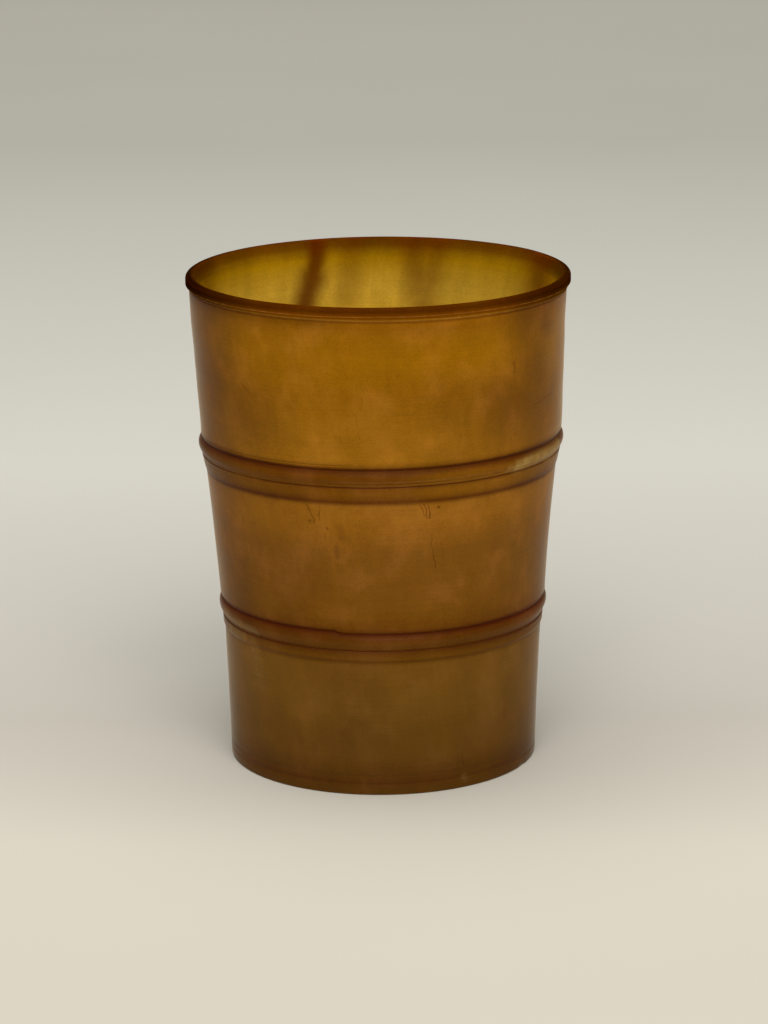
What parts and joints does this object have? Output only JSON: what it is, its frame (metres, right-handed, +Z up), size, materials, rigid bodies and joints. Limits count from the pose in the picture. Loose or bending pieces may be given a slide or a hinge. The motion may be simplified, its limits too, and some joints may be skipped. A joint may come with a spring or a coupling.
{
  "type": "horn beaker",
  "caption": "Tapering drinking beaker turned from horn, with a moulded rim, turned bands round the wall and a plate sprung into the foot.",
  "frame": {"origin": "middle of the foot, on the table", "axes": "+Z up along the turning axis, towards the mouth; X and Y are alike, and -Y is the side that the picture shows"},
  "size_m": [0.0782, 0.0782, 0.1016],
  "materials": {
    "wall_horn": "turned and polished amber-brown cow horn, translucent, worn satin, with darker lengthwise streaks",
    "plate_horn": "turned cow horn, translucent brown, duller than the wall"
  },
  "bodies": {
    "root": {"cup_wall": "wall_horn", "bottom_disc": "plate_horn"}
  },
  "joints": []
}
